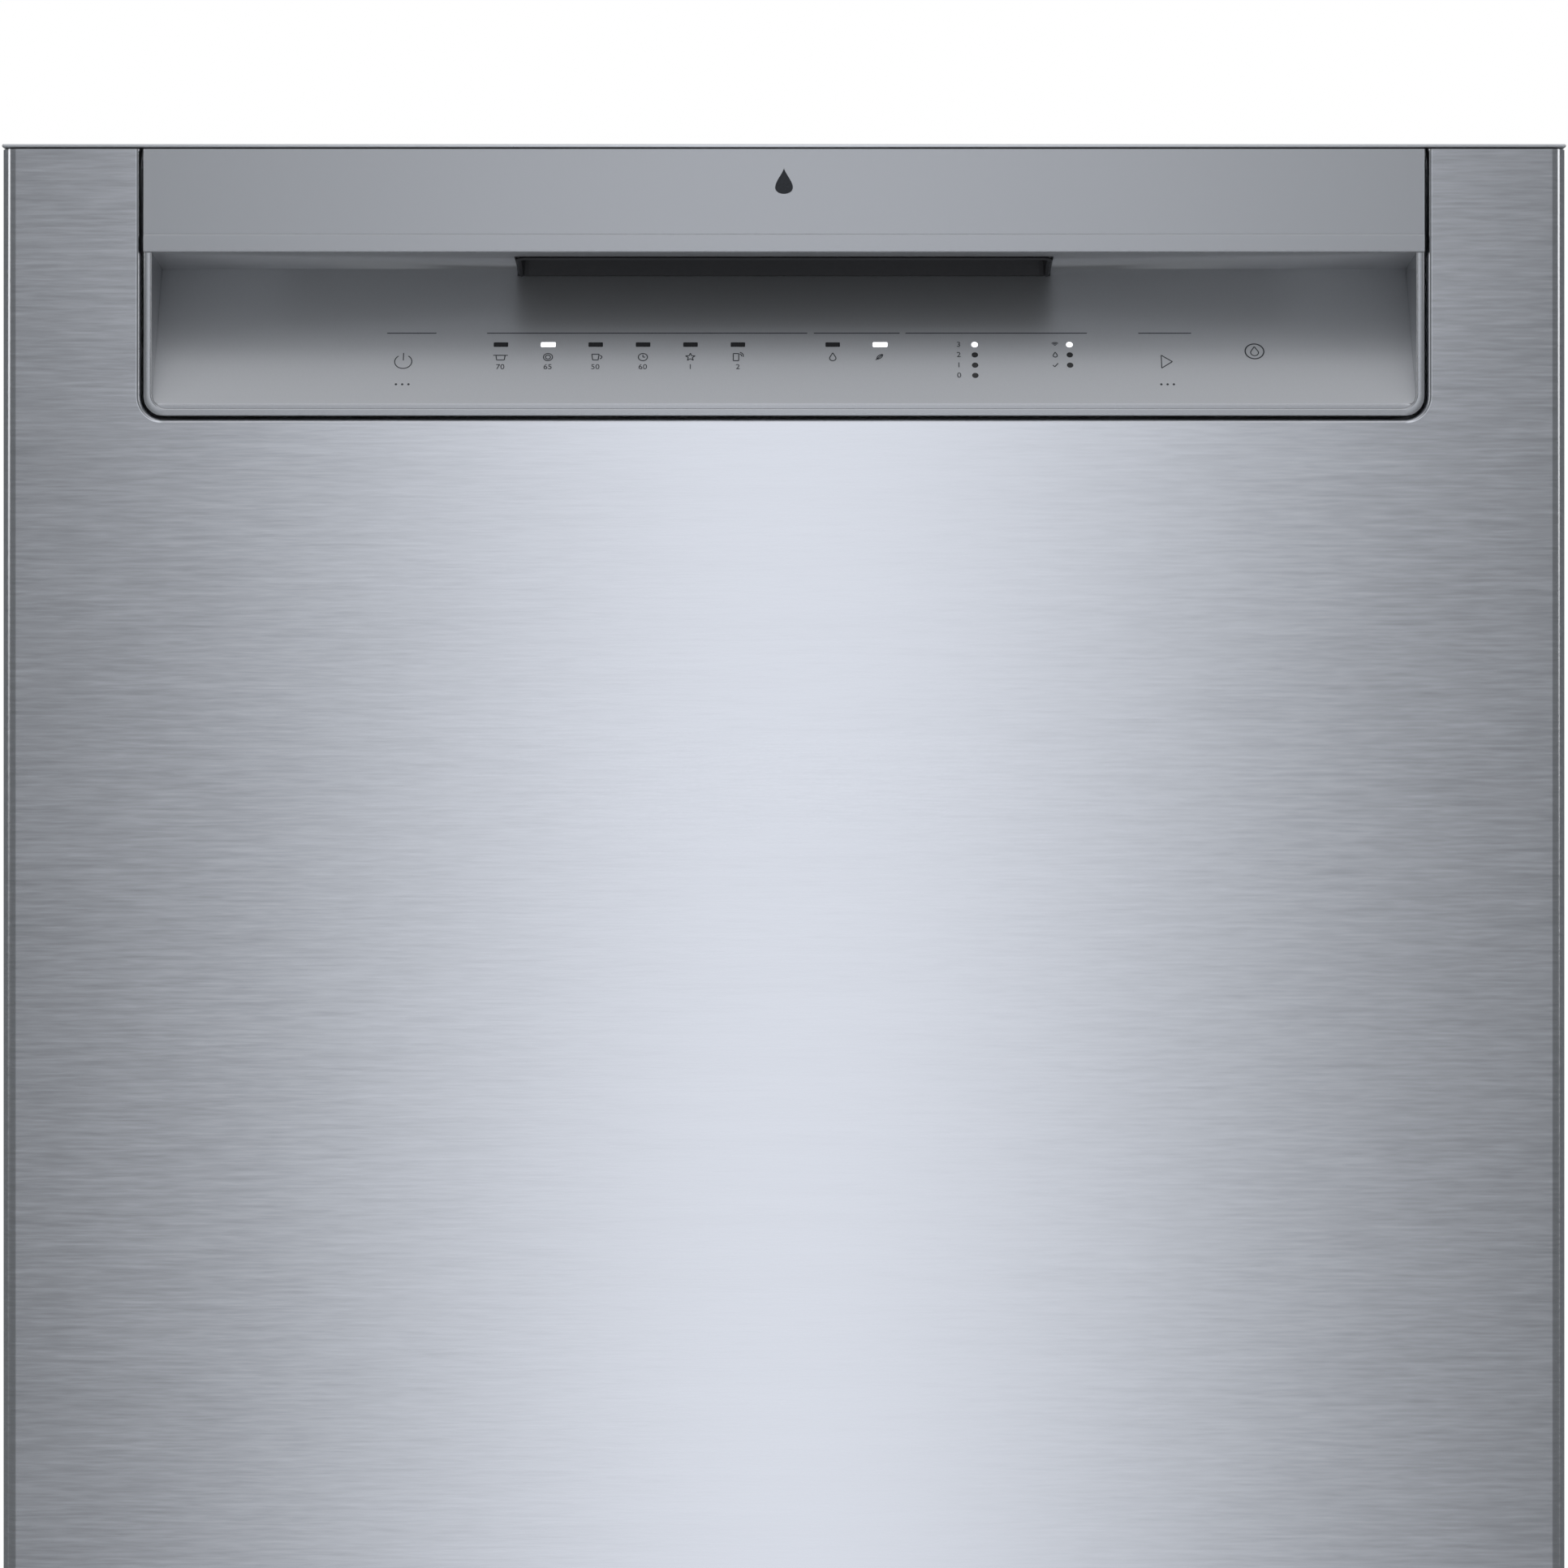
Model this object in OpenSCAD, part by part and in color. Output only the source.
// Built-in dishwasher, 24 inch class, in millimetres.
// +Z is up, the door faces -Y, and the origin is the centre of the footprint at floor level.

/* [Overall] */
// Width across the door
unit_w = 598; // [500:1:700]
// Depth from the front of the control lip to the rear of the base tray
unit_d = 603; // [540:1:720]
// Height from the floor to the counter brackets
unit_h = 860; // [800:1:1020]
// Height of the door's lower edge above the floor
door_bottom = 110; // [105:1:125]
// Thickness of the door
door_t = 60; // [54:1:70]

/* [Door skin] */
// Thickness of the steel sheet of the door
skin_t = 1; // [0.6:0.1:1.5]
// Radius of the door's rounded side edges
skin_edge_r = 5.4; // [3:0.1:9]
// Depth of the door skin's side returns
skin_return = 24; // [18:1:28]
// Thickness of the cap along the top edge of the door
cap_t = 1.4; // [1:0.1:3]
// Gap under the top cap
cap_gap = 0.5; // [0.3:0.1:1]

/* [Control fascia] */
// Width of the plastic fascia
fascia_w = 489.6; // [400:0.1:560]
// Height of the fascia below the top of the door
fascia_h = 104; // [90:1:140]
// Gap between the fascia and the steel around it
fascia_gap = 1; // [0.5:0.1:2]
// How far the fascia stands out of the steel
fascia_proud = 1; // [0.5:0.1:2]
// Wall thickness of the fascia
fascia_wall = 2.5; // [1.5:0.1:3]
// Height from the door's top to the lower edge of the pull lip
lip_drop = 41.6; // [36:0.1:46]
// Depth of the pocket under the lip
pocket_depth = 38; // [30:1:42]
// Width of the finger slot
slot_w = 207; // [120:1:300]
// Spacing of the programme indicator windows
window_pitch = 18.25; // [12:0.05:20]
// Width of an indicator window
window_w = 5.6; // [4:0.1:8]
// Diameter of a status light
dot_d = 2.5; // [2:0.1:3]

/* [Tub] */
// Clear width inside the tub
tub_w = 540; // [440:1:640]
// Depth of the tub
tub_d = 491; // [440:1:600]
// Height of the tub floor above the floor
tub_floor = 152; // [150:1:156]
// Clear height inside the tub
tub_h = 663; // [600:1:665]
// Thickness of the tub sheet
tub_t = 1.5; // [0.8:0.1:2]
// Thickness of the tub's sound mats
mat_t = 12; // [6:1:12]

/* [Racks] */
// Side length of a rack wire
wire = 3.5; // [2.5:0.1:4]
// Height of the upper rack's floor above the tub floor
upper_rack_rise = 368; // [330:1:400]
// Height of the upper rack's walls
upper_rack_h = 110; // [70:1:150]
// Height of the lower rack's walls
lower_rack_h = 120; // [80:1:160]
// Radius of the lower rack's wheels
wheel_r = 20; // [16:0.5:22]
// Length of a plate tine
tine_l = 75; // [50:1:90]

/* [Fits] */
// Radial clearance of a shaft in its hole
run_gap = 0.05; // [0.02:0.01:0.1]
// Clearance between pieces of one assembly
fit_gap = 0.5; // [0.3:0.1:1]
// Clearance round a piece that moves
move_gap = 1; // [0.5:0.1:2]

/* [Hidden] */
$fn = 48;

// Door planes and heights
front_y = -unit_d / 2;
skin_y = front_y + fascia_proud;
liner_y = front_y + door_t;
bracket_rise = 5;
door_top = unit_h - bracket_rise;
skin_top = door_top - cap_t - cap_gap;
door_half = unit_w / 2;

// Hinge pivot, inside the lower edge of the door
pivot_inset = 20.5;
pivot_y = liner_y - pivot_inset;
pivot_z = door_bottom + 20;
pivot_r = 5;

// Fascia section, measured back from its front face
fascia_half = fascia_w / 2;
rim_w = 3.2;
bottom_rim = 2.9;
ceiling_drop = 2.9;
lip_z = door_top - lip_drop;
ceiling_z = lip_z - ceiling_drop;
fascia_bottom = door_top - fascia_h;
slope_z = fascia_bottom + bottom_rim;
slope_len = norm([pocket_depth, ceiling_z - slope_z]);
slope_lean = atan2(pocket_depth, ceiling_z - slope_z);
slot_front = 9.5;
slot_drop = 3;
corner_r = 7.5;

// Tub planes
tub_half = tub_w / 2;
tub_gap = 3.5;
tub_front = liner_y + tub_gap;
mouth_t = 2;
wrap_front = tub_front + mouth_t;
tub_back = tub_front + tub_d;
tub_ceiling = tub_floor + tub_h;
frame_half = tub_half + 16;
frame_top = door_top - 4;

// Base
tray_half = tub_half + 19;
tray_z = 22;
tray_t = 4;
tray_front = front_y + 86;
tray_back = unit_d / 2;
floor_t = 5;
tray_top = tub_floor - floor_t;

// Outline helpers: points of an arc, and of a rectangle with round corners
function arc(x, y, r, from, to, steps = 6) =
    [for (i = [0:steps]) let (a = from + (to - from) * i / steps) [x + r * cos(a), y + r * sin(a)]];
function round_rect(x0, y0, x1, y1, r) = concat(
    arc(x1 - r, y1 - r, r, 0, 90), arc(x0 + r, y1 - r, r, 90, 180),
    arc(x0 + r, y0 + r, r, 180, 270), arc(x1 - r, y0 + r, r, 270, 360));

// A box from one corner to the other
module block(low, high) { translate(low) cube(high - low); }

// Extrudes an outline drawn in X and Z from y0 to y1
module along_y(y0, y1) { translate([0, y1, 0]) rotate([90, 0, 0]) linear_extrude(y1 - y0) children(); }

// Extrudes an outline drawn in Y and Z from x0 to x1
module along_x(x0, x1) {
    translate([x0, 0, 0]) rotate([90, 0, 90]) linear_extrude(x1 - x0) children();
}

// Rods along each axis, starting at a point
module rod_x(at, r, l) { translate(at) rotate([0, 90, 0]) cylinder(r = r, h = l); }
module rod_y(at, r, l) { translate(at) rotate([-90, 0, 0]) cylinder(r = r, h = l); }
module rod_z(at, r, l) { translate(at) cylinder(r = r, h = l); }

// The same piece on the left and on the right
module both_sides() {
    children();
    mirror([1, 0, 0]) children();
}

// Flat grid of bars in X and Y with its low corner at the origin
module grid(w, h, columns, rows) {
    step_x = (w - wire) / columns;
    step_y = (h - wire) / rows;
    for (i = [0:columns]) translate([i * step_x, 0]) square([wire, h]);
    for (j = [0:rows]) translate([0, j * step_y]) square([w, wire]);
}

// ---- Door ----

// Outline of the door skin seen from above: a flat front with round side edges
function skin_outline(inset) = let (
    h = door_half - inset, y = skin_y + inset, r = skin_edge_r - inset, back = skin_y + skin_return)
    concat([[h, back]], arc(h - r, y + r, r, 0, -90), arc(-h + r, y + r, r, -90, -180), [[-h, back]]);

// The hole in the skin for the fascia, as an outline in X and Z
module fascia_outline(grow) {
    polygon(round_rect(-fascia_half - grow, fascia_bottom - grow, fascia_half + grow,
        unit_h + grow, corner_r + grow));
}

module outer_door_panel() color([0.72, 0.73, 0.76]) {
    difference() {
        translate([0, 0, door_bottom]) linear_extrude(skin_top - door_bottom)
            polygon(skin_outline(0));
        translate([0, 0, door_bottom + skin_t]) linear_extrude(unit_h) polygon(concat(
            [[door_half - skin_t, skin_y + skin_return + skin_t]], skin_outline(skin_t),
            [[-door_half + skin_t, skin_y + skin_return + skin_t]]));
        along_y(skin_y - skin_t, skin_y + skin_t * 2) fascia_outline(fascia_gap);
    }
}

module door_top_cap() color([0.75, 0.76, 0.78]) {
    block([-door_half, skin_y, door_top - cap_t], [door_half, liner_y - fit_gap * 2, door_top]);
}

// Places its children on the sloping control surface: x across, s up the slope
module on_slope(x, s) {
    translate([x, front_y + s * sin(slope_lean), slope_z + s * cos(slope_lean)])
        rotate([-slope_lean, 0, 0]) children();
}

// Sections of the fascia in Y and Z: its wall, and its closed silhouette for the ends
wall_y = fascia_wall * cos(slope_lean);
wall_z = fascia_wall * sin(slope_lean);
fascia_return = 14;
fascia_top_depth = 30;
module fascia_section() {
    translate([front_y, 0]) polygon([
        [0, skin_top], [0, lip_z], [pocket_depth, ceiling_z], [0, slope_z], [0, fascia_bottom],
        [fascia_return, fascia_bottom], [fascia_return, fascia_bottom + fascia_wall],
        [wall_y + fascia_wall * tan(slope_lean) / 2, fascia_bottom + fascia_wall],
        [pocket_depth + wall_y, ceiling_z - wall_z], [pocket_depth + wall_y, ceiling_z + fascia_wall],
        [fascia_wall, lip_z + fascia_wall], [fascia_wall, skin_top - fascia_wall],
        [fascia_top_depth, skin_top - fascia_wall], [fascia_top_depth, skin_top]]);
}
module fascia_end() {
    translate([front_y, 0]) polygon([
        [0, skin_top], [0, fascia_bottom], [fascia_return, fascia_bottom],
        [pocket_depth + wall_y, ceiling_z - wall_z], [pocket_depth + wall_y, ceiling_z + fascia_wall],
        [fascia_top_depth, skin_top]]);
}

// Places of the indicator windows and the status lights
window_x = -109;
window_s = 30.8;
windows = [0, 1, 2, 3, 4, 5, 7, 8];
dot_step = 5;
dots = [[73.4, 0], [73.4, 1], [73.4, 2], [73.4, 3], [109.9, 0], [109.9, 1], [109.9, 2]];
window_h = 2.2;
light_gap = 0.1;
module light_shapes(grow, from, deep) {
    for (i = windows) on_slope(window_x + window_pitch * i, window_s)
        translate([-window_w / 2 - grow, from, -window_h / 2 - grow])
            cube([window_w + 2 * grow, deep, window_h + 2 * grow]);
    for (d = dots) on_slope(d[0], window_s - dot_step * d[1])
        rod_y([0, from, 0], dot_d / 2 + grow, deep);
}

module control_fascia() color([0.62, 0.63, 0.65]) {
    difference() {
        intersection() {
            union() {
                along_x(-fascia_half, fascia_half) fascia_section();
                both_sides() along_x(fascia_half - rim_w, fascia_half) fascia_end();
            }
            along_y(front_y - 1, liner_y) fascia_outline(0);
        }
        block([-slot_w / 2, front_y + slot_front, ceiling_z - slot_drop],
            [slot_w / 2, front_y + pocket_depth + fascia_wall * 2, lip_z + fascia_wall * 2]);
        light_shapes(light_gap, -fascia_wall, fascia_wall * 3);
    }
}

// A dark scoop behind the lip, open downwards
grip_wall = 1.5;
grip_rise = 18;
grip_behind = 8;
module handle_grip_insert() color([0.08, 0.08, 0.09]) {
    x = slot_w / 2 - fit_gap;
    y0 = front_y + slot_front + fit_gap;
    y1 = front_y + pocket_depth + wall_y + grip_behind;
    z0 = ceiling_z - slot_drop + fit_gap;
    difference() {
        block([-x, y0, z0], [x, y1, ceiling_z + grip_rise]);
        block([-x + grip_wall, y0 + grip_wall, z0 - 1],
            [x - grip_wall, front_y + pocket_depth - slot_drop, ceiling_z + grip_rise - grip_wall]);
        block([-x + grip_wall, y0 + grip_wall, z0 + grip_wall],
            [x - grip_wall, y1 - grip_wall, ceiling_z + grip_rise - grip_wall]);
    }
}

guide_l = 6;
module indicator_lights() color([0.95, 0.95, 0.92]) light_shapes(0, 0, guide_l);

board_w = 430;
board_h = 44;
board_t = 1.6;
module control_board() color([0.1, 0.35, 0.2]) {
    on_slope(-board_w / 2, 6) translate([0, guide_l + fit_gap, 0]) {
        cube([board_w, board_t, board_h]);
        for (i = [0:4]) translate([40 + i * 80, board_t - 0.1, 12]) cube([24, 6, 18]);
    }
}

// The inner door: a pan of sheet steel with a flange that sits inside the skin's returns
liner_half = door_half - skin_t - fit_gap;
liner_top = door_top - cap_t - fit_gap * 2;
liner_bottom = door_bottom + 8;
liner_flange = 46;
notch_x = tub_half + 8;
notch_z = pivot_z + 50;
dispenser_z = 470;
dispenser_w = 180;
dispenser_h = 150;
screw_r = 2;
screw_z = [260, 420, 580, 740];
screw_x = liner_half - 9;
module door_inner_liner() color([0.8, 0.81, 0.83]) {
    difference() {
        block([-liner_half, liner_y - liner_flange, liner_bottom], [liner_half, liner_y, liner_top]);
        block([-liner_half + skin_t, liner_y - liner_flange - 1, liner_bottom + skin_t],
            [liner_half - skin_t, liner_y - skin_t, liner_top - skin_t]);
        block([-fascia_half - rim_w, front_y, fascia_bottom - corner_r],
            [fascia_half + rim_w, front_y + pocket_depth + fascia_wall * 8, unit_h]);
        both_sides() block([notch_x, front_y, 0], [unit_w, unit_d, notch_z]);
        block([-dispenser_w / 2 + 4, liner_y - 3, dispenser_z - dispenser_h / 2 + 4],
            [dispenser_w / 2 - 4, liner_y + 1, dispenser_z + dispenser_h / 2 - 4]);
        block([-latch_half - fit_gap, liner_y - 3, latch_z - fit_gap],
            [latch_half + fit_gap, liner_y + 1, latch_z + latch_h + fit_gap]);
        for (z = screw_z) both_sides() rod_y([screw_x, liner_y - 5, z], screw_r + run_gap, 10);
    }
}

module door_sound_mat() color([0.12, 0.12, 0.13]) {
    block([-door_half + 20, skin_y + skin_t, door_bottom + 60],
        [door_half - 20, skin_y + skin_t + 3, fascia_bottom - 20]);
}

// Latch: a housing in the top of the inner door, whose mouth takes the strike
latch_half = 24;
latch_h = 20;
latch_z = door_top - 25;
latch_deep = 29;
latch_wall = 3;
hook_x = 4;
hook_y = liner_y - 22;
hook_z = latch_z + 6;
hook_r = 2;
mouth_z = latch_z + 10;
module latch_housing() color([0.2, 0.2, 0.22]) {
    difference() {
        block([-latch_half, liner_y - latch_deep, latch_z], [latch_half, liner_y, latch_z + latch_h]);
        block([-9, liner_y - latch_deep + latch_wall, latch_z + latch_wall],
            [9, liner_y + 1, latch_z + latch_h - latch_wall]);
        rod_x([-latch_half - 1, hook_y, hook_z], hook_r + run_gap, latch_half * 2 + 2);
    }
}
module latch_hook() color([0.85, 0.85, 0.8]) {
    rod_x([-12, hook_y, hook_z], hook_r, 24);
    along_x(-hook_x, hook_x) translate([hook_y, hook_z]) polygon([
        [-2.4, -2.2], [18, -2.4], [18, 2.5], [14, 2.5], [13, -0.5], [4, -0.5], [2.4, 2.4], [-2.4, 2.4]]);
}

// Detergent dispenser with a cup, a sliding lid and a rinse-aid cap
flange_t = 3;
cup_deep = 28;
lid_t = 2;
rinse_x = 45;
rinse_z = dispenser_z - 38;
rinse_r = 20;
cup_low = [-75, dispenser_z];
cup_high = [-5, dispenser_z + 60];
module detergent_dispenser() color([0.35, 0.36, 0.38]) {
    difference() {
        union() {
            block([-dispenser_w / 2, liner_y, dispenser_z - dispenser_h / 2],
                [dispenser_w / 2, liner_y + flange_t - 0.5, dispenser_z + dispenser_h / 2]);
            block([-dispenser_w / 2 + 5, liner_y - 34, dispenser_z - dispenser_h / 2 + 5],
                [dispenser_w / 2 - 5, liner_y + 1, dispenser_z + dispenser_h / 2 - 5]);
        }
        block([cup_low[0], liner_y - cup_deep, cup_low[1]],
            [cup_high[0], liner_y + flange_t, cup_high[1]]);
        rod_y([rinse_x, liner_y - 20, rinse_z], rinse_r - 2 + run_gap, 40);
    }
}
module dispenser_lid() color([0.55, 0.56, 0.58]) {
    y = liner_y + flange_t - 0.2;
    block([cup_low[0] - 5, y, cup_low[1] - 5], [cup_high[0] + 5, y + lid_t, cup_high[1] + 5]);
}
module rinse_aid_cap() color([0.3, 0.45, 0.7]) {
    y = liner_y + flange_t - 0.2;
    rod_y([rinse_x, y, rinse_z], rinse_r, lid_t);
    rod_y([rinse_x, y - 16, rinse_z], rinse_r - 2, 17);
    block([rinse_x - 15, y + 1, rinse_z - 2], [rinse_x + 15, y + lid_t + 1.2, rinse_z + 2]);
}

// Hinge arms inside the lower corners of the door, with a stud for the spring
arm_x = tub_half + 13;
arm_t = 3;
stud_z = pivot_z + 35;
stud_r = 3;
bracket_x = arm_x + arm_t + 3;
module hinge_arms() color([0.6, 0.6, 0.62]) both_sides() {
    difference() {
        along_x(arm_x, arm_x + arm_t) polygon(round_rect(pivot_y - 15, pivot_z - 12,
            pivot_y + 12, pivot_z + 160, 8));
        rod_x([arm_x - 1, pivot_y, pivot_z], pivot_r + run_gap, arm_t + 2);
    }
    rod_x([arm_x + arm_t - 0.5, pivot_y, stud_z], stud_r, bracket_x - arm_x);
}

module door_foot_seal() color([0.15, 0.15, 0.16]) {
    // ends short of the lower rack's wheels, which roll over the open door
    block([-wheel_x + 10, liner_y, liner_bottom], [wheel_x - 10, liner_y + 2.5, liner_bottom + 9]);
}

module door_screws() color([0.5, 0.5, 0.52]) {
    for (z = screw_z) both_sides() {
        rod_y([screw_x, liner_y, z], screw_r * 2, 1.8);
        rod_y([screw_x, liner_y - 14, z], screw_r, 15);
    }
}

// ---- Tub and frame ----

tub_r = 25;
module tub_outline(grow) {
    h = tub_half + grow;
    top = tub_ceiling + grow;
    r = tub_r + grow;
    polygon(concat([[h, tub_floor]], arc(h - r, top - r, r, 0, 90), arc(-h + r, top - r, r, 90, 180),
        [[-h, tub_floor]]));
}
module tub_wrap() color([0.78, 0.79, 0.81]) {
    difference() {
        along_y(wrap_front, tub_back) tub_outline(tub_t);
        along_y(wrap_front - 1, tub_back + 1) translate([0, -1]) tub_outline(0);
        block([-tub_half, wrap_front - 1, tub_floor - 2], [tub_half, tub_back + 1, tub_floor + tub_r]);
    }
}
module tub_rear_wall() color([0.78, 0.79, 0.81]) {
    along_y(tub_back, tub_back + tub_t) tub_outline(tub_t);
}

// The plastic floor of the tub, with a well for the sump and a riser for the lower spray arm
sump_y = -110;
sump_r = 80;
arm_y = 10;
riser_r = 14;
lower_arm_z = tub_floor + 34;
pipe_y = tub_back - 14;
pipe_r = 9;
foot_stem_r = 5;
module tub_base() color([0.42, 0.43, 0.45]) {
    difference() {
        union() {
            block([-tub_half - tub_t, wrap_front, tub_floor - floor_t],
                [tub_half + tub_t, tub_back + tub_t, tub_floor]);
            block([-tray_half, tray_front, tub_floor - floor_t], [tray_half, tub_back, tub_floor]);
            rod_z([0, arm_y, tub_floor - 1], riser_r, lower_arm_z - tub_floor - 1);
        }
        rod_z([0, sump_y, 0], sump_r + move_gap, tub_floor + 1);
        rod_z([0, arm_y, lower_arm_z - 12], riser_r - 5, 20);
        rod_z([0, pipe_y, 0], pipe_r + run_gap, tub_floor + 1);
    }
}

module tub_frame() color([0.7, 0.71, 0.73]) {
    difference() {
        block([-frame_half, tub_front, tub_floor - 2], [frame_half, wrap_front, frame_top]);
        block([-tub_half - tub_t, tub_front - 1, tub_floor - 3],
            [tub_half + tub_t, wrap_front + 1, tub_ceiling + tub_t]);
    }
    block([-frame_half + 2, wrap_front - 1, frame_top - mouth_t],
        [frame_half - 2, wrap_front + 60, frame_top]);
}

gasket_t = 3;
module door_gasket() color([0.1, 0.1, 0.1]) {
    difference() {
        block([-tub_half - 14, tub_front - gasket_t, tub_floor + 6],
            [tub_half + 14, tub_front, tub_ceiling + 12]);
        block([-tub_half - 3, tub_front - gasket_t - 1, tub_floor],
            [tub_half + 3, tub_front + 1, tub_ceiling + 3]);
    }
}

module insulation_mats() color([0.14, 0.14, 0.15]) {
    x = tub_half + tub_t;
    low = tub_floor + 70;
    block([x, wrap_front + 10, low], [x + mat_t, tub_back, tub_ceiling - tub_r]);
    block([-x - mat_t, wrap_front + 10, tank_top + 10], [-x, tub_back, tub_ceiling - tub_r]);
    block([-tub_half + tub_r, wrap_front + 70, tub_ceiling + tub_t],
        [tub_half - tub_r, tub_back, tub_ceiling + tub_t + mat_t]);
    block([-tub_half, tub_back + tub_t, low], [tub_half, tub_back + tub_t + mat_t, tub_ceiling - tub_r]);
}

// Two angle brackets that screw up into the counter
bracket_pitch = 400;
bracket_w = 60;
counter_hole_pitch = 36;
counter_hole_r = 2.25;
counter_y = wrap_front + 46;
module counter_brackets() color([0.66, 0.67, 0.68]) {
    for (side = [-1, 1]) translate([side * bracket_pitch / 2, 0, 0]) difference() {
        union() {
            block([-bracket_w / 2, counter_y - 14, unit_h - 1.5], [bracket_w / 2, counter_y + 14, unit_h]);
            block([-bracket_w / 2, counter_y + 12.5, frame_top], [bracket_w / 2, counter_y + 14, unit_h]);
            block([-bracket_w / 2, counter_y - 14, frame_top],
                [bracket_w / 2, counter_y + 14, frame_top + 1.5]);
        }
        for (k = [-1, 1]) rod_z([k * counter_hole_pitch / 2, counter_y, unit_h - 3], counter_hole_r, 6);
    }
}

// The strike stands on the front of the tub frame and reaches into the latch's mouth
module door_strike() color([0.6, 0.6, 0.62]) {
    difference() {
        union() {
            block([-7, liner_y - 16, mouth_z - 1], [7, tub_front, mouth_z + 1]);
            block([-14, tub_front - 1.5, mouth_z - 7], [14, tub_front, mouth_z + 7]);
        }
        block([-hook_x - 1, liner_y - 11, mouth_z - 3], [hook_x + 1, liner_y - 3, mouth_z + 3]);
    }
}

// ---- Base ----

foot_x = tray_half - 30;
foot_y = tray_front + 25;
rear_foot_y = tray_back - 70;
drive_x = 14;
drive_z = tray_z + 22;
drive_r = 3.5;
inlet_x = -225;
outlet_x = 245;
port_z = tray_z + 48;
inlet_r = 13.1;
outlet_r = 10;
port_room = 9;
module base_tray() color([0.2, 0.2, 0.21]) {
    difference() {
        block([-tray_half, tray_front, tray_z], [tray_half, tray_back, tray_top]);
        block([-tray_half + tray_t, tray_front + tray_t, tray_z + tray_t],
            [tray_half - tray_t, tray_back - tray_t, tray_top + 1]);
        for (x = [-foot_x, foot_x]) rod_z([x, foot_y, 0], foot_stem_r + run_gap, tray_top);
        rod_z([0, rear_foot_y, 0], foot_stem_r + run_gap, tray_top);
        rod_y([drive_x, tray_front - 1, drive_z], drive_r + run_gap, tray_t + 2);
        rod_y([inlet_x, tray_back - tray_t - 1, port_z], inlet_r + port_room, tray_t + 2);
        rod_y([outlet_x, tray_back - tray_t - 1, port_z], outlet_r + port_room, tray_t + 2);
        rod_y([box_at[0], tray_back - tray_t - 1, box_at[2] + box_size[2] / 2], knockout_r + 5, tray_t + 2);
    }
}

// The toe kick is set back under the door and screws to the tray
kick_z = 6;
kick_t = 1.5;
module toe_kick_panel() color([0.1, 0.1, 0.11]) {
    y = tray_front - 14;
    difference() {
        union() {
            block([-door_half + 2, y, kick_z], [door_half - 2, y + kick_t, door_bottom - 14]);
            block([-door_half + 2, y, door_bottom - 14 - kick_t], [door_half - 2, tray_front, door_bottom - 14]);
        }
        for (i = [-6:6]) block([i * 30 - 9, y - 1, kick_z + 20], [i * 30 + 9, y + kick_t + 1, kick_z + 25]);
    }
}

// Brackets on the tray's sides carry the hinge pins, and posts at the rear hold the springs
spring_x = bracket_x + 1.5;
spring_r = 5;
spring_y = [pivot_y + 75, pivot_y + 190];
post_y = spring_y[1] + 30;
module hinge_brackets() color([0.55, 0.55, 0.57]) both_sides() {
    difference() {
        block([bracket_x, pivot_y - 10, pivot_z - 12], [bracket_x + 3, post_y + 12, pivot_z + 12]);
        block([bracket_x - 1, pivot_y + 40, pivot_z - 4], [bracket_x + 4, post_y - 20, pivot_z + 4]);
    }
    block([bracket_x, post_y - 6, pivot_z + 10], [bracket_x + 3, post_y + 12, stud_z + 10]);
    rod_x([arm_x - 3, pivot_y, pivot_z], pivot_r, bracket_x - arm_x + 4);
    block([tray_half, post_y - 40, pivot_z - 10], [bracket_x + 1, post_y, pivot_z + 10]);
}

// Each spring stretches between a post and the stud on its hinge arm
module door_springs() color([0.5, 0.5, 0.5]) both_sides() {
    difference() {
        rod_y([spring_x, spring_y[0], stud_z], spring_r, spring_y[1] - spring_y[0]);
        rod_y([spring_x, spring_y[0] + 2, stud_z], spring_r - 1.5, spring_y[1] - spring_y[0] - 4);
    }
    rod_y([spring_x, pivot_y + stud_r + 0.2, stud_z], 1, spring_y[0] - pivot_y - stud_r);
    rod_y([spring_x, spring_y[1] - 0.5, stud_z], 1, post_y - 6.2 - spring_y[1]);
}

// ---- Water and power ----

sump_floor = tray_z + 40;
filter_r = 45;
module sump_pot() color([0.3, 0.3, 0.32]) {
    difference() {
        union() {
            rod_z([0, sump_y, sump_floor], sump_r - 15, tub_floor - 4 - sump_floor);
            rod_z([0, sump_y, tub_floor - 8], sump_r, 4);
            rod_z([0, sump_y, tub_floor - 8], sump_r + 12, 8 - floor_t);
        }
        rod_z([0, sump_y, sump_floor + 4], sump_r - 19, tub_floor);
    }
}
module fine_filter_plate() color([0.8, 0.81, 0.82]) {
    difference() {
        rod_z([0, sump_y, tub_floor - 4], sump_r, 2);
        rod_z([0, sump_y, tub_floor - 5], filter_r + 1, 4);
        for (a = [0:15:345], r = [54:9:72]) rotate_about([0, sump_y], a)
            rod_z([r, 0, tub_floor - 5], 2, 4);
    }
}
module rotate_about(at, a) { translate([at[0], at[1], 0]) rotate([0, 0, a]) children(); }
module filter_cylinder() color([0.7, 0.71, 0.73]) {
    difference() {
        rod_z([0, sump_y, sump_floor + 10], filter_r, tub_floor + 6 - sump_floor - 10);
        rod_z([0, sump_y, sump_floor + 12], filter_r - 2, tub_floor);
    }
    difference() {
        rod_z([0, sump_y, tub_floor + 1], filter_r, 3);
        for (a = [0:30:330]) rotate_about([0, sump_y], a) rod_z([28, 0, tub_floor], 4, 6);
    }
    block([-3, sump_y - filter_r + 6, tub_floor + 3], [3, sump_y + filter_r - 6, tub_floor + 20]);
}

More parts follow.
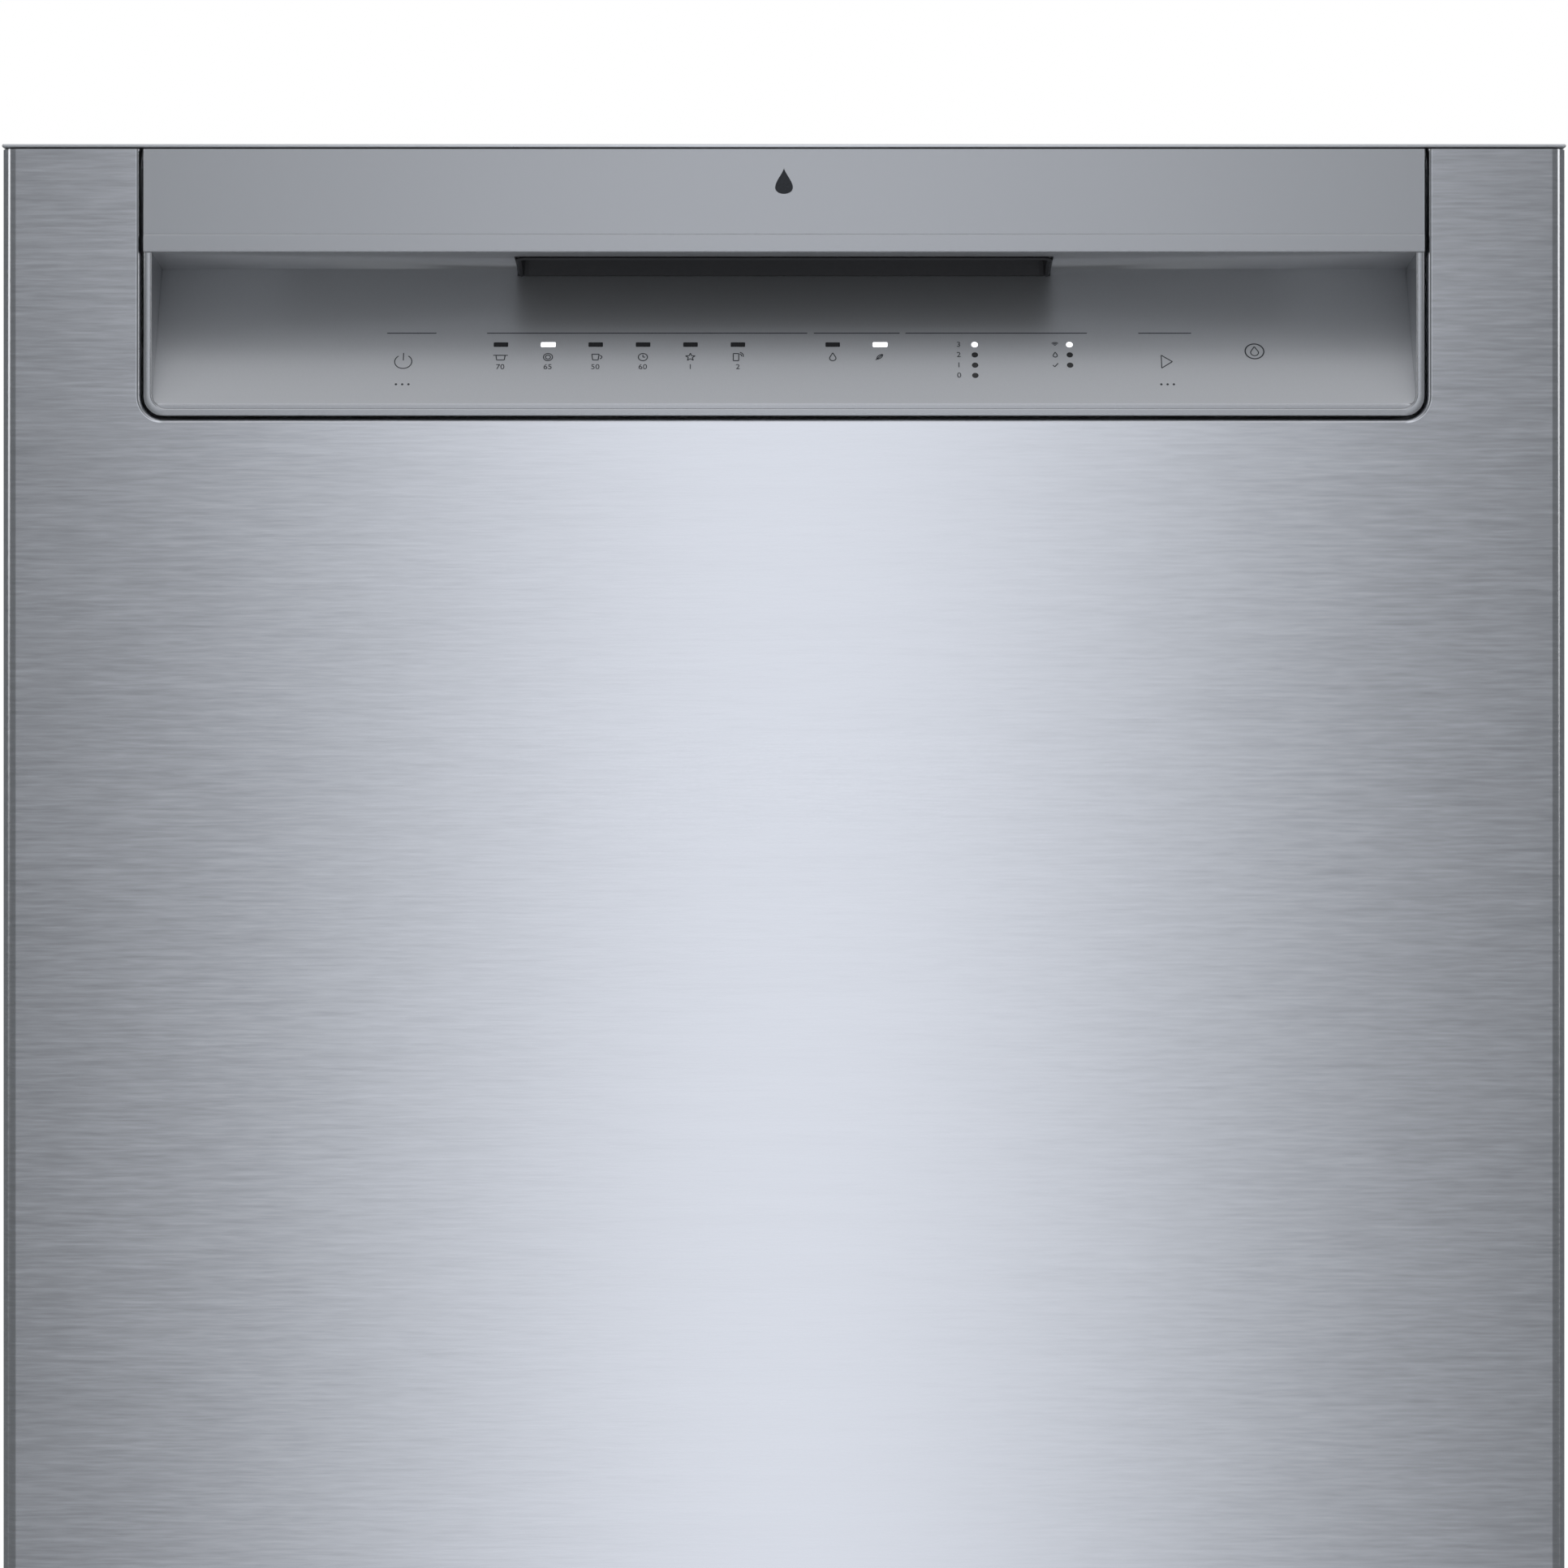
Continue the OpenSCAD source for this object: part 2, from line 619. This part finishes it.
// Circulation pump with its heater ring, on an axis along Y
pump = [-130, 60, tray_z + 66];
pump_r = 45;
pump_l = 70;
shaft_r = 4;
module circulation_pump() color([0.28, 0.29, 0.31]) {
    difference() {
        union() {
            rod_y(pump, pump_r, pump_l);
            rod_y(pump + [0, 20, 0], pump_r + 5, 12);
            rod_y(pump + [0, -30, 0], 18, 31);
        }
        rod_y(pump + [0, 6, 0], pump_r - 6, pump_l - 12);
        rod_y(pump + [0, -31, 0], 14, 40);
        rod_y(pump + [0, pump_l - 10, 0], shaft_r + run_gap, 12);
    }
}
module pump_impeller() color([0.85, 0.85, 0.83]) {
    translate(pump + [0, 24, 0]) rotate([-90, 0, 0]) {
        cylinder(r = 30, h = 3);
        for (a = [0:60:300]) rotate([0, 0, a]) translate([9, -1, 2]) cube([19, 2, 12]);
        cylinder(r = 10, h = 16);
    }
    rod_y(pump + [0, 24, 0], shaft_r, pump_l + 20);
}
module pump_motor() color([0.45, 0.46, 0.48]) {
    difference() {
        union() {
            rod_y(pump + [0, pump_l, 0], 38, 80);
            block(pump + [-20, pump_l + 20, 30], pump + [20, pump_l + 60, 46]);
        }
        rod_y(pump + [0, pump_l - 1, 0], shaft_r + run_gap, 48);
    }
}

drain = [150, -70, tray_z + 46];
module drain_pump() color([0.25, 0.25, 0.27]) {
    difference() {
        union() {
            rod_y(drain, 30, 40);
            rod_y(drain + [0, 39, 0], 24, 46);
            block(drain + [-80, 10, -9], drain + [-26, 28, 9]);
        }
        rod_y(drain + [0, 4, 0], 26, 32);
        rod_y(drain + [0, 35, 0], 3 + run_gap, 20);
    }
}
module drain_impeller() color([0.85, 0.85, 0.83]) {
    translate(drain + [0, 10, 0]) rotate([-90, 0, 0]) {
        cylinder(r = 6, h = 20);
        for (a = [0:90:270]) rotate([0, 0, a]) translate([5, -1, 0]) cube([15, 2, 16]);
    }
    rod_y(drain + [0, 28, 0], 3, 22);
}

port_l = 22;
module port_body(x, r, bore) {
    difference() {
        union() {
            block([x - 20, tray_back - 62, port_z - 22], [x + 20, tray_back - port_l - 2, port_z + 22]);
            rod_y([x, tray_back - port_l - 3, port_z], r, port_l + 3);
        }
        rod_y([x, tray_back - 40, port_z], bore, 50);
    }
}
module drain_outlet() color([0.3, 0.3, 0.32]) port_body(outlet_x, outlet_r, 7);
module inlet_valve() color([0.9, 0.9, 0.88]) {
    port_body(inlet_x, inlet_r, 8);
    rod_z([inlet_x, tray_back - 45, port_z + 21], 13, 26);
}

// Junction box for the supply cable, which comes in from the rear under the tub
box_at = [205, tray_front + 55, tray_z + tray_t];
box_size = [66, 70, 56];
knockout_r = 11;
module junction_box() color([0.6, 0.6, 0.62]) {
    difference() {
        block(box_at - [box_size[0] / 2, 0, 0], box_at + [box_size[0] / 2, box_size[1], box_size[2]]);
        block(box_at + [-box_size[0] / 2 + 2, 2, 2],
            box_at + [box_size[0] / 2 - 2, box_size[1] - 2, box_size[2] - 2]);
        rod_y(box_at + [0, box_size[1] - 3, box_size[2] / 2], knockout_r, 4);
    }
}

tank_top = 690;
module side_water_tank() color([0.88, 0.9, 0.92, 0.7]) {
    x = tub_half + tub_t;
    difference() {
        block([-x - mat_t, -150, 250], [-x, 150, tank_top]);
        block([-x - mat_t + 2, -148, 252], [-x - 2, 148, tank_top - 2]);
        for (z = [340, 430, 520, 610]) block([-x - mat_t - 1, -60, z], [-x + 1, 120, z + 6]);
    }
}

// Feed pipe up the rear wall and forward under the ceiling
head_z = tub_ceiling - 30;
module feed_pipe() color([0.4, 0.41, 0.43]) {
    rod_z([0, pipe_y, tub_floor - 12], pipe_r, head_z + 18 + 12 - tub_floor);
    rod_y([0, arm_y, head_z + 8], 7, pipe_y - arm_y);
    block([-11, upper_back + move_gap + 1, upper_z - 26], [11, pipe_y, upper_z - 10]);
}
module top_spray_head() color([0.5, 0.51, 0.53]) {
    difference() {
        union() {
            rod_z([0, arm_y, head_z - 18], 32, 6);
            rod_z([0, arm_y, head_z - 13], 12, 14);
        }
        for (a = [0:45:315]) rotate_about([0, arm_y], a) rod_z([23, 0, head_z - 20], 2, 12);
    }
}

// ---- Feet ----

pad_r = 19;
foot_pad = 9;
stem_top = tray_z + 62;
module foot_at(x, y) {
    rod_z([x, y, 0], pad_r, foot_pad);
    rod_z([x, y, foot_pad - 1], foot_stem_r, stem_top - foot_pad);
}
module front_foot_left() color([0.15, 0.15, 0.15]) foot_at(-foot_x, foot_y);
module front_foot_right() color([0.15, 0.15, 0.15]) foot_at(foot_x, foot_y);
module rear_foot() color([0.15, 0.15, 0.15]) foot_at(0, rear_foot_y);
module rear_foot_drive() color([0.7, 0.7, 0.7]) {
    rod_y([drive_x, tray_front - 8, drive_z], drive_r, rear_foot_y + 6 - tray_front);
    translate([drive_x, rear_foot_y - 12, drive_z]) rotate([-90, 0, 0]) cylinder(r = 7, h = 24);
}

// ---- Racks ----

// Telescopic rails: a channel on the tub wall, a channel sliding in it, and wheels on the rack
upper_z = tub_floor + upper_rack_rise;
upper_half = tub_half - 24;
upper_front = tub_front + 14;
upper_back = tub_back - 40;
rail_z = upper_z + 45;
rail_half_h = 20;
rail_t = 1.5;
rail_l = upper_back - upper_front;
rack_wheel_r = 15;
weld_gap = 0.1;
module channel(x, deep, half_h, y0, y1) {
    along_y(y0, y1) polygon([
        [x, rail_z - half_h], [x, rail_z + half_h], [x - deep, rail_z + half_h],
        [x - deep, rail_z + half_h - rail_t], [x - rail_t, rail_z + half_h - rail_t],
        [x - rail_t, rail_z - half_h + rail_t], [x - deep, rail_z - half_h + rail_t],
        [x - deep, rail_z - half_h]]);
}
inner_x = tub_half - rail_t - move_gap;
inner_half_h = rail_half_h - rail_t - move_gap;
module outer_rails() color([0.68, 0.69, 0.71])
    both_sides() channel(tub_half, 8, rail_half_h, upper_front, upper_back);
module sliding_rails() color([0.74, 0.75, 0.77])
    both_sides() channel(inner_x, 16, inner_half_h, upper_front + 2, upper_back - 2);

// A rack's floor: a flat grid, and its four walls standing on it
module rack_floor(half, y0, y1, z, columns, rows) {
    translate([-half, y0, z]) linear_extrude(wire) grid(half * 2, y1 - y0, columns, rows);
}
module rack_walls(half, y0, y1, z, h, columns, rows) {
    z0 = z + wire;
    for (y = [y0, y1 - wire]) translate([0, y + wire, 0]) rotate([90, 0, 0])
        translate([-half, z0, 0]) linear_extrude(wire) grid(half * 2, h, columns, 3);
    for (x = [-half, half - wire]) translate([x, 0, 0]) rotate([90, 0, 90])
        translate([y0 + wire + 0.2, z0, 0]) linear_extrude(wire)
            grid(y1 - y0 - wire * 2 - 0.4, h, rows, 3);
}
module tine_row(x0, x1, y, z, l, count) {
    for (i = [0:count])
        translate([x0 + (x1 - x0 - wire) * i / count, y, z + weld_gap]) cube([wire, wire, l]);
    translate([x0, y, z + weld_gap]) cube([x1 - x0, wire, wire]);
}

hub_y = (upper_front + upper_back) / 2;
module upper_rack_floor() color([0.62, 0.64, 0.67]) {
    rack_floor(upper_half, upper_front, upper_back, upper_z, 18, 14);
    for (y = [hub_y - 100, hub_y + 60])
        tine_row(-10, upper_half - 40, y, upper_z + wire, 50, 9);
    rod_z([0, hub_y, upper_z - 21.5], 6, 20);
    rod_z([0, hub_y, upper_z - 21.5], 10, 3);
    block([-12, hub_y - 12, upper_z - 2], [12, hub_y + 12, upper_z - weld_gap]);
}
module upper_rack_walls() color([0.62, 0.64, 0.67])
    rack_walls(upper_half, upper_front, upper_back, upper_z, upper_rack_h, 18, 14);
axle_y = [upper_front + 60, upper_back - 50];
module upper_rack_wheels() color([0.3, 0.3, 0.32]) both_sides() for (y = axle_y) {
    rod_x([upper_half + 2, y, rail_z], rack_wheel_r, 9);
    rod_x([upper_half, y, rail_z], 4, 3);
    block([upper_half, y - 20, rail_z - 9], [upper_half + 1.5, y + 20, rail_z + 9]);
}

shelf_w = 110;
shelf_x = -upper_half + wire + 6;
shelf_z = upper_z + 75;
module cup_shelf() color([0.5, 0.52, 0.55]) {
    y0 = hub_y - 150;
    translate([shelf_x, y0, shelf_z - wire / 2]) linear_extrude(wire) grid(shelf_w, 300, 4, 10);
    rod_y([shelf_x, y0 - 6, shelf_z], 3, 312);
}

// Spray arms: a flat hollow bar of two unequal wings with jets on top
module spray_arm(at, r, hole) {
    translate(at) difference() {
        union() {
            linear_extrude(14) polygon(concat(
                arc(r - 22, 0, 22, -90, 90), [[0, 34]], arc(-r + 22, 0, 22, 90, 270), [[0, -34]]));
            translate([0, 0, -6]) cylinder(r = 26, h = 7);
        }
        translate([0, 0, -7]) cylinder(r = hole + 0.5, h = 9.5);
        for (i = [1:7], k = [-1, 1]) translate([k * r * i / 8, (i % 2 - 0.5) * 16, 9])
            cylinder(r = 1.6, h = 6);
    }
}
lower_arm_r = 208;
upper_arm_r = 195;
module lower_spray_arm() color([0.36, 0.37, 0.4])
    spray_arm([0, arm_y, lower_arm_z], lower_arm_r, riser_r);
module upper_spray_arm() color([0.36, 0.37, 0.4]) {
    difference() {
        spray_arm([0, hub_y, upper_z - 28], upper_arm_r, 10.5);
        rod_z([0, hub_y, upper_z - 25.8], 10.6, 7.8);
        rod_z([0, hub_y, upper_z - 20], 6.6, 10);
    }
}

lower_half = tub_half - 16;
lower_front = liner_y + 16.5;
lower_back = tub_back - 50;
lower_z = tub_floor + 62;
wheel_x = lower_half - 1;
wheel_y = [lower_front + 118, lower_back - 40];
wheel_z = tub_floor + wheel_r + 0.3;
axle_r = 3;
wheel_t = 8;
fold_y = 60;
fold_z = lower_z + wire + 5;
module lower_rack_floor() color([0.62, 0.64, 0.67]) {
    rack_floor(lower_half - 12, lower_front, lower_back, lower_z, 20, 18);
    for (y = [-70, -25, 20])
        tine_row(-lower_half + 40, lower_half - 40, y, lower_z + wire, tine_l, 14);
}
module lower_rack_walls() color([0.62, 0.64, 0.67]) {
    rack_walls(lower_half - 12, lower_front, lower_back, lower_z, lower_rack_h, 20, 18);
    both_sides() for (y = wheel_y) {
        block([wheel_x - 12, y - 5, wheel_z - 5], [wheel_x - 9.5, y + 5, lower_z]);
        rod_x([wheel_x - 10, y, wheel_z], axle_r, wheel_t + 8);
    }
}
module wheel_pair(y) color([0.32, 0.33, 0.35]) both_sides() difference() {
    rod_x([wheel_x - 7, y, wheel_z], wheel_r, wheel_t);
    rod_x([wheel_x - 8, y, wheel_z], axle_r + run_gap, wheel_t + 2);
    for (a = [0:60:300]) translate([0, y, wheel_z]) rotate([a, 0, 0])
        rod_x([wheel_x - 8, 0, 11.5], 3.5, wheel_t + 2);
}
module lower_rack_wheels_front() wheel_pair(wheel_y[0]);
module lower_rack_wheels_rear() wheel_pair(wheel_y[1]);
module folding_tines() color([0.62, 0.64, 0.67]) {
    rod_x([-lower_half + 40, fold_y, fold_z], 3, lower_half * 2 - 80);
    for (i = [0:12]) translate([-lower_half + 50 + i * (lower_half * 2 - 104) / 12, fold_y - wire / 2,
        fold_z]) cube([wire, wire, tine_l]);
}

basket_x = [10, 215];
basket_y = [lower_front + 8, lower_front + 68];
basket_z = lower_z + wire + 0.5;
basket_h = 130;
module cutlery_basket() color([0.45, 0.46, 0.49]) {
    difference() {
        block([basket_x[0], basket_y[0], basket_z], [basket_x[1], basket_y[1], basket_z + basket_h]);
        for (i = [0:2]) let (w = (basket_x[1] - basket_x[0] - 8) / 3)
            block([basket_x[0] + 2 + i * (w + 2), basket_y[0] + 2, basket_z + 2],
                [basket_x[0] + 2 + i * (w + 2) + w, basket_y[1] - 2, basket_z + basket_h + 1]);
        for (z = [15:22:110], x = [basket_x[0] + 12:16:basket_x[1] - 10])
            block([x, basket_y[0] - 1, basket_z + z], [x + 8, basket_y[1] + 1, basket_z + z + 12]);
    }
}

outer_door_panel();
door_top_cap();
control_fascia();
handle_grip_insert();
indicator_lights();
control_board();
door_inner_liner();
door_sound_mat();
latch_housing();
detergent_dispenser();
hinge_arms();
door_foot_seal();
door_screws();
latch_hook();
dispenser_lid();
rinse_aid_cap();
tub_wrap();
tub_rear_wall();
tub_base();
tub_frame();
door_gasket();
insulation_mats();
counter_brackets();
door_strike();
base_tray();
toe_kick_panel();
hinge_brackets();
door_springs();
sump_pot();
fine_filter_plate();
circulation_pump();
pump_motor();
drain_pump();
drain_outlet();
inlet_valve();
junction_box();
side_water_tank();
feed_pipe();
top_spray_head();
outer_rails();
filter_cylinder();
pump_impeller();
drain_impeller();
front_foot_left();
front_foot_right();
rear_foot();
rear_foot_drive();
sliding_rails();
upper_rack_floor();
upper_rack_walls();
cup_shelf();
upper_rack_wheels();
upper_spray_arm();
lower_rack_floor();
lower_rack_walls();
folding_tines();
cutlery_basket();
lower_rack_wheels_front();
lower_rack_wheels_rear();
lower_spray_arm();
